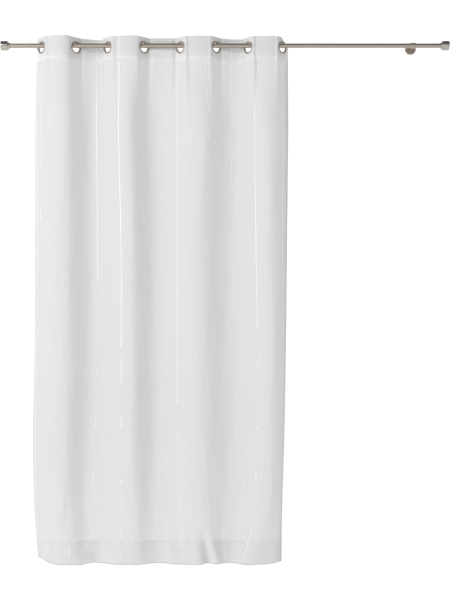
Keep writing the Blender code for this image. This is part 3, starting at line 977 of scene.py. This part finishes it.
class CURTAIN_OT_hang_panel(bpy.types.Operator):
    """Hang the sheer panel with its side hems and its deep bottom hem turned in"""

    bl_idname = "curtain.hang_panel"
    bl_label = "Hang the panel"

    def execute(self, context):
        cloth = context.scene.curtain_cloth
        columns = round(CLOTH_WIDTH / CLOTH_COLUMN)
        middle = np.linspace(0.0, CLOTH_WIDTH, columns + 1)
        turned_in = np.array((*SIDE_HEM_COLUMNS, cloth.side_hem))
        laid = np.concatenate((-turned_in[::-1], middle, CLOTH_WIDTH + turned_in))
        flats = np.where(laid < 0.0, -laid, np.where(laid > CLOTH_WIDTH, 2.0 * CLOTH_WIDTH - laid, laid))
        side_in = soft_step(np.maximum(-laid, laid - CLOTH_WIDTH), 0.0, TURN)

        top = HEADING_DEPTH + GAP
        rows = round((CLOTH_LENGTH - top) / CLOTH_ROW)
        down = np.linspace(top, CLOTH_LENGTH, rows + 1)
        run = np.concatenate((down, CLOTH_LENGTH + np.array(HEM_ROWS)))
        drops = np.where(run > CLOTH_LENGTH, 2.0 * CLOTH_LENGTH - run, run)
        hem_in = soft_step(run - CLOTH_LENGTH, 0.0, TURN)

        # Each turned layer lies one gap further back, and the outer one half a gap to the front
        points, *_, out = cloth_frame(flats, drops)
        behind = cloth.layer_gap * (side_in[None, :] + hem_in[:, None] - 0.5)
        points = points + behind[:, :, None] * out + np.array(ROD_MIDDLE)
        mesh = sheet_mesh("sheer_panel", points, laid, run)
        hem_line = CLOTH_LENGTH - HEM_DEPTH
        finish = woven_voile("polyester_voile_woven", PANEL_LIGHT, hem_line, cloth.hem_whiteness)
        piece = finished("sheer_panel", mesh, finish, "voile", "panel")
        return {"FINISHED"}


class CURTAIN_OT_sew_heading(bpy.types.Operator):
    """Hang the stiffened heading band and punch a hole for each eyelet"""

    bl_idname = "curtain.sew_heading"
    bl_label = "Sew the heading"

    def execute(self, context):
        columns = round(CLOTH_WIDTH / CLOTH_COLUMN)
        flats = np.linspace(0.0, CLOTH_WIDTH, columns + 1)
        bend = np.linspace(-math.pi / 2.0, math.pi / 2.0, HEADING_BEND_ROWS)[1:-1]
        front = np.linspace(HEADING_DEPTH, HEADING_HALF, HEADING_ROWS)
        drops = np.concatenate((front, HEADING_HALF * (1.0 - np.cos(bend)), front[::-1]))
        level = np.full(len(front), HEADING_HALF)
        sideways = np.concatenate((-level, HEADING_HALF * np.sin(bend), level))
        points, *_, out = cloth_frame(flats, drops)
        points = points + sideways[:, None, None] * out + np.array(ROD_MIDDLE)
        mesh = sheet_mesh("heading_band", points, flats, drops)

        # Close the folded band along its lower edge and at both ends
        shape = bmesh.new()
        shape.from_mesh(mesh)
        shape.verts.ensure_lookup_table()
        count, last_row = len(flats), (len(drops) - 1) * len(flats)
        for column in range(count - 1):
            loop = (last_row + column, column, column + 1, last_row + column + 1)
            shape.faces.new([shape.verts[index] for index in loop])
        open_edges = [edge for edge in shape.edges if edge.is_boundary]
        bmesh.ops.holes_fill(shape, edges=open_edges, sides=0)
        bmesh.ops.recalc_face_normals(shape, faces=shape.faces)
        shape.to_mesh(mesh)
        shape.free()
        seam_line = HEADING_DEPTH - HEADING_TURN_IN
        whiteness = context.scene.curtain_cloth.seam_whiteness
        finish = woven_voile("polyester_voile_doubled", HEADING_LIGHT, seam_line, whiteness)
        piece = finished("heading_band", mesh, finish, "heading_band", "heading")

        # The punches are longer than the band is thick
        reach = 4.0 * HEADING_HALF
        profile = ((0.0, -reach), (EYELET_HOLE_RADIUS, -reach), (EYELET_HOLE_RADIUS, reach), (0.0, reach))
        for place, turn in eyelet_seats():
            punch = bpy.data.objects.new("punch", placed(turned("punch", profile), place, turn))
            context.scene.collection.objects.link(punch)
            hole = piece.modifiers.new("eyelet_hole", "BOOLEAN")
            hole.operation = "DIFFERENCE"
            hole.solver = "EXACT"
            hole.object = punch
        apply_modifiers(piece)
        for punch in [thing for thing in bpy.data.objects if thing.name.startswith("punch")]:
            bpy.data.objects.remove(punch, do_unlink=True)
        piece.data.shade_smooth()
        piece.data.set_sharp_from_angle(angle=SMOOTH_ANGLE)
        return {"FINISHED"}


class CURTAIN_OT_weave_stripes(bpy.types.Operator):
    """Lay the stripes of shiny thread that run down the cloth, unbroken above and dashed below"""

    bl_idname = "curtain.weave_stripes"
    bl_label = "Weave the stripes"

    def execute(self, context):
        dash_width = context.scene.curtain_cloth.dash_width
        heading_start, heading_end = STRIPE_INSET, HEADING_DEPTH - STRIPE_INSET
        panel_start = HEADING_DEPTH + STRIPE_INSET
        shape = bmesh.new()
        flats = [STRIPE_MARGIN + number * STRIPE_SPACING for number in range(len(STRIPES))]
        for flat, stripe in zip(flats, STRIPES):
            veiled = STRIPE_SHARE_IN_HEADING * stripe.width
            lay_thread(shape, flat, heading_start, heading_end, veiled, -HEADING_HALF)
            lay_thread(shape, flat, panel_start, stripe.unbroken_to, stripe.width, 0.0)
        for dash in DASHES:
            lay_thread(shape, flats[dash.stripe], dash.start, dash.end, dash_width, 0.0)
        bright, between = hex_colour("#ffffff"), hex_colour("#fbfbfa")
        finish = trilobal_thread("trilobal_polyester_thread", bright, between)
        finished("thread_stripes", smooth_mesh(shape, "thread_stripes"), finish, "voile")
        return {"FINISHED"}


class CURTAIN_OT_sew_seams(bpy.types.Operator):
    """Sew the heading's seam, the hem and the side hems with rows of single stitches"""

    bl_idname = "curtain.sew_seams"
    bl_label = "Sew the seams"

    def execute(self, context):
        cloth = context.scene.curtain_cloth
        shape = bmesh.new()
        pitch = cloth.stitch_length
        across = np.arange(pitch, CLOTH_WIDTH - pitch, pitch)
        for drop, lift in SEAM_ROWS:
            sew_row(shape, across, np.array([drop]), lift)
        down = np.arange(HEADING_DEPTH + pitch, CLOTH_LENGTH - pitch, pitch)
        inset = cloth.side_hem - SIDE_STITCH_INSET
        for flat in (inset, CLOTH_WIDTH - inset):
            sew_row(shape, np.array([flat]), down, PANEL_STITCH_LIFT)
        bright, between = hex_colour("#ececeb"), hex_colour("#e2e2e1")
        finish = trilobal_thread("polyester_sewing_thread", bright, between)
        finished("seam_stitches", smooth_mesh(shape, "seam_stitches"), finish, "voile")
        return {"FINISHED"}


class CURTAIN_OT_set_eyelets(bpy.types.Operator):
    """Press each eyelet: a front ring with its collar and a back ring"""

    bl_idname = "curtain.set_eyelets"
    bl_label = "Set the eyelets"

    def execute(self, context):
        bore, outer, depth = EYELET_BORE_RADIUS, EYELET_OUTER_RADIUS, EYELET_HALF_DEPTH
        collar = bore + EYELET_COLLAR_WALL
        seat = HEADING_HALF + GAP
        arch = [math.pi * step / BEAD_STEPS for step in range(BEAD_STEPS + 1)]
        half, middle = (outer - bore) / 2.0, (outer + bore) / 2.0
        rise = depth - seat
        bead = [(middle - half * math.cos(turn), seat + rise * math.sin(turn)) for turn in arch]
        front = [(bore, -depth), *bead, (outer, seat), (collar, seat), (collar, -depth)]
        half, middle = (outer - collar - GAP) / 2.0, (outer + collar + GAP) / 2.0
        bead = [(middle - half * math.cos(turn), -seat - rise * math.sin(turn)) for turn in arch]
        for number, (place, turn) in enumerate(eyelet_seats(), start=1):
            for side, profile in (("front", front), ("back", bead)):
                mesh = placed(turned(f"ring_{side}_{number}", profile), place, turn)
                name = f"eyelet_ring_{side}_{number}"
                finished(name, mesh, satin_nickel(), "eyelet_metal", f"eyelet_{side}_{number}")
        return {"FINISHED"}


class CURTAIN_OT_fit_rod(bpy.types.Operator):
    """Fit the round tube that the curtain hangs from"""

    bl_idname = "curtain.fit_rod"
    bl_label = "Fit the rod"

    def execute(self, context):
        bore = ROD_RADIUS - ROD_WALL
        profile = ((bore, -ROD_HALF), (ROD_RADIUS, -ROD_HALF), (ROD_RADIUS, ROD_HALF), (bore, ROD_HALF))
        tube = placed(turned("rod_tube", profile), (0.0, 0.0, 0.0), (0.0, math.pi / 2.0, 0.0))
        finished("rod_tube", tube, satin_nickel(), "rod_metal", "rod")
        return {"FINISHED"}


class CURTAIN_OT_fit_caps(bpy.types.Operator):
    """Slip a drum-shaped end cap over each end of the rod"""

    bl_idname = "curtain.fit_caps"
    bl_label = "Fit the end caps"

    def execute(self, context):
        edge = context.scene.curtain_metal.edge_radius
        bore = ROD_RADIUS + GAP
        profile = (
            (0.0, CAP_LENGTH),
            (CAP_RADIUS, CAP_LENGTH),
            (CAP_RADIUS, CAP_COLLAR_LENGTH),
            (CAP_COLLAR_RADIUS, CAP_COLLAR_LENGTH),
            (CAP_COLLAR_RADIUS, 0.0),
            (bore, 0.0),
            (bore, CAP_OVERLAP + GAP),
            (0.0, CAP_OVERLAP + GAP),
        )
        profile = rounded(profile, [share * edge for share in CAP_EDGES])
        colour = linear(context.scene.curtain_metal.polished_colour)
        polished = plated_nickel("polished_nickel_plate", colour, POLISHED_ROUGHNESS, POLISHED_GRAIN)
        for name, side in (("left", -1.0), ("right", 1.0)):
            place = (side * (ROD_HALF - CAP_OVERLAP), 0.0, 0.0)
            cap = turned(f"end_cap_{name}", profile)
            placed(cap, place, (0.0, side * math.pi / 2.0, 0.0))
            finished(f"end_cap_{name}", cap, polished, "cap_metal", f"cap_{name}")
        return {"FINISHED"}


class CURTAIN_OT_fit_brackets(bpy.types.Operator):
    """Fit the brackets: wall plate, arm, ring round the rod, and the screw that pins the rod"""

    bl_idname = "curtain.fit_brackets"
    bl_label = "Fit the brackets"

    def execute(self, context):
        edge = context.scene.curtain_metal.edge_radius
        half = RING_WIDTH / 2.0
        standoff = -ROD_MIDDLE.y
        to_back, to_front = (-math.pi / 2.0, 0.0, 0.0), (math.pi / 2.0, 0.0, 0.0)
        along_rod = (0.0, math.pi / 2.0, 0.0)
        plate = (
            (0.0, 0.0),
            (PLATE_RADIUS, 0.0),
            (PLATE_RADIUS, -PLATE_THICKNESS),
            (0.0, -PLATE_THICKNESS),
        )
        plate = rounded(plate, [share * edge for share in PLATE_EDGES])
        arm_start, arm_end = RING_RADIUS + GAP, standoff - PLATE_THICKNESS - GAP
        arm = ((0.0, arm_start), (ARM_RADIUS, arm_start), (ARM_RADIUS, arm_end), (0.0, arm_end))
        bore = ROD_RADIUS + GAP
        ring = ((bore, -half), (RING_RADIUS, -half), (RING_RADIUS, half), (bore, half))
        ring = rounded(ring, [share * edge for share in RING_EDGES])
        seat, head = RING_RADIUS + GAP, RING_RADIUS + GAP + SCREW_HEAD_HEIGHT
        screw = (
            (0.0, bore),
            (SCREW_SHANK_RADIUS, bore),
            (SCREW_SHANK_RADIUS, seat),
            (SCREW_HEAD_RADIUS, seat),
            (SCREW_HEAD_RADIUS, head),
            (SCREW_SOCKET_RADIUS, head),
            (SCREW_SOCKET_RADIUS, head - SCREW_SOCKET_DEPTH),
            (0.0, head - SCREW_SOCKET_DEPTH),
        )
        for side, along in (("left", BRACKET_LEFT), ("right", BRACKET_RIGHT)):
            at_back, at_rod = (along, standoff, 0.0), (along, 0.0, 0.0)
            parts = (
                ("wall_plate", plate, at_back, to_back),
                ("arm", arm, at_rod, to_back),
                ("rod_ring", ring, at_rod, along_rod),
                ("set_screw", screw, at_rod, to_front),
            )
            for name, profile, place, turn in parts:
                mesh = placed(turned(f"bracket_{name}_{side}", profile), place, turn)
                finished(f"bracket_{name}_{side}", mesh, satin_nickel(), "rod_metal", f"{name}_{side}")
        return {"FINISHED"}


class CURTAIN_OT_set_studio(bpy.types.Operator):
    """Set a pale floor, soft studio light and the camera"""

    bl_idname = "curtain.set_studio"
    bl_label = "Set the studio"

    def execute(self, context):
        scene = context.scene
        studio = scene.curtain_studio
        scene.view_settings.view_transform = "Standard"

        floor_mesh = bpy.data.meshes.new("studio_floor")
        square = ((-1.0, -1.0), (1.0, -1.0), (1.0, 1.0), (-1.0, 1.0))
        corners = [(FLOOR_REACH * x, FLOOR_REACH * y, 0.0) for x, y in square]
        floor_mesh.from_pydata(corners, [], [(0, 1, 2, 3)])
        floor = bpy.data.objects.new("studio_floor", floor_mesh)
        scene.collection.objects.link(floor)
        floor.location = (ROD_MIDDLE.x, ROD_MIDDLE.y, cad_low.z - studio.floor_drop)
        paint, tree, output = empty_finish("pale_studio_floor")
        surface = add_node(
            tree,
            "ShaderNodeBsdfPrincipled",
            {
                "Base Color": hex_colour("#f4f4f4"),
                "Roughness": 0.9,
                "Emission Color": hex_colour("#ffffff"),
                "Emission Strength": FLOOR_GLOW,
            },
        )
        tree.links.new(surface.outputs["BSDF"], output.inputs["Surface"])
        floor_mesh.materials.append(paint)

        # Soft light: bright all round at eye height, dim overhead, and dimmer at the front right
        around = bpy.data.worlds.new("soft_studio")
        scene.world = around
        around.use_nodes = True
        tree = around.node_tree
        tree.nodes.clear()
        way = add_node(tree, "ShaderNodeTexCoord").outputs["Generated"]
        parts = add_node(tree, "ShaderNodeSeparateXYZ", {"Vector": way}).outputs
        smooth = {"interpolation_type": "SMOOTHSTEP"}
        overhead = changing(tree, parts["Z"], *OVERHEAD_LIGHT, **smooth)
        right = changing(tree, parts["X"], *LOSS_AT_RIGHT, **smooth)
        front = changing(tree, parts["Y"], *LOSS_IN_FRONT, **smooth)
        kept = maths(tree, "SUBTRACT", 1.0, maths(tree, "MULTIPLY", right, front))
        strength = maths(tree, "MULTIPLY", kept, overhead)
        light = {"Color": hex_colour("#ffffff"), "Strength": strength}
        background = add_node(tree, "ShaderNodeBackground", light).outputs["Background"]
        add_node(tree, "ShaderNodeOutputWorld", {"Surface": background})

        aim = Vector((ROD_MIDDLE.x - LAMP_AIM_LEFT, ROD_MIDDLE.y, LAMP_AIM_HEIGHT))
        add_lamp("key_softbox", LAMP_PLACE, aim, LAMP_SIZE, studio.key_power)

        camera_data = bpy.data.cameras.new("camera")
        camera_data.lens = studio.lens
        camera_data.sensor_width = FILM_WIDTH
        camera = bpy.data.objects.new("camera", camera_data)
        scene.collection.objects.link(camera)
        camera.location = (ROD_MIDDLE.x, ROD_MIDDLE.y - studio.camera_distance, -studio.camera_drop)
        camera.rotation_euler = (math.pi / 2.0, 0.0, 0.0)
        scene.camera = camera
        return {"FINISHED"}


class CURTAIN_PT_pieces(bpy.types.Panel):
    """Lists the steps that make the curtain."""

    bl_idname = "CURTAIN_PT_pieces"
    bl_label = "Eyelet curtain"
    bl_space_type = "VIEW_3D"
    bl_region_type = "UI"
    bl_category = "Curtain"

    def draw(self, context):
        for operator in OPERATORS:
            self.layout.operator(operator.bl_idname)
        scene = context.scene
        for group in (scene.curtain_cloth, scene.curtain_metal, scene.curtain_studio):
            column = self.layout.column()
            for name in group.bl_rna.properties.keys():
                if name not in {"rna_type", "name"}:
                    column.prop(group, name)


OPERATORS = (
    CURTAIN_OT_hang_panel,
    CURTAIN_OT_sew_heading,
    CURTAIN_OT_weave_stripes,
    CURTAIN_OT_sew_seams,
    CURTAIN_OT_set_eyelets,
    CURTAIN_OT_fit_rod,
    CURTAIN_OT_fit_caps,
    CURTAIN_OT_fit_brackets,
    CURTAIN_OT_set_studio,
)
GROUPS = (CurtainCloth, CurtainMetal, CurtainStudio)


def register():
    for kind in (*GROUPS, *OPERATORS, CURTAIN_PT_pieces):
        bpy.utils.register_class(kind)
    bpy.types.Scene.curtain_cloth = PointerProperty(type=CurtainCloth)
    bpy.types.Scene.curtain_metal = PointerProperty(type=CurtainMetal)
    bpy.types.Scene.curtain_studio = PointerProperty(type=CurtainStudio)


def unregister():
    del bpy.types.Scene.curtain_studio
    del bpy.types.Scene.curtain_metal
    del bpy.types.Scene.curtain_cloth
    for kind in reversed((*GROUPS, *OPERATORS, CURTAIN_PT_pieces)):
        bpy.utils.unregister_class(kind)


def main():
    register()
    for operator in OPERATORS:
        step = operator.bl_idname.split(".")[1]
        if getattr(bpy.ops.curtain, step)() != {"FINISHED"}:
            raise RuntimeError(f"{operator.bl_label} didn't finish")


if __name__ == "__main__":
    main()
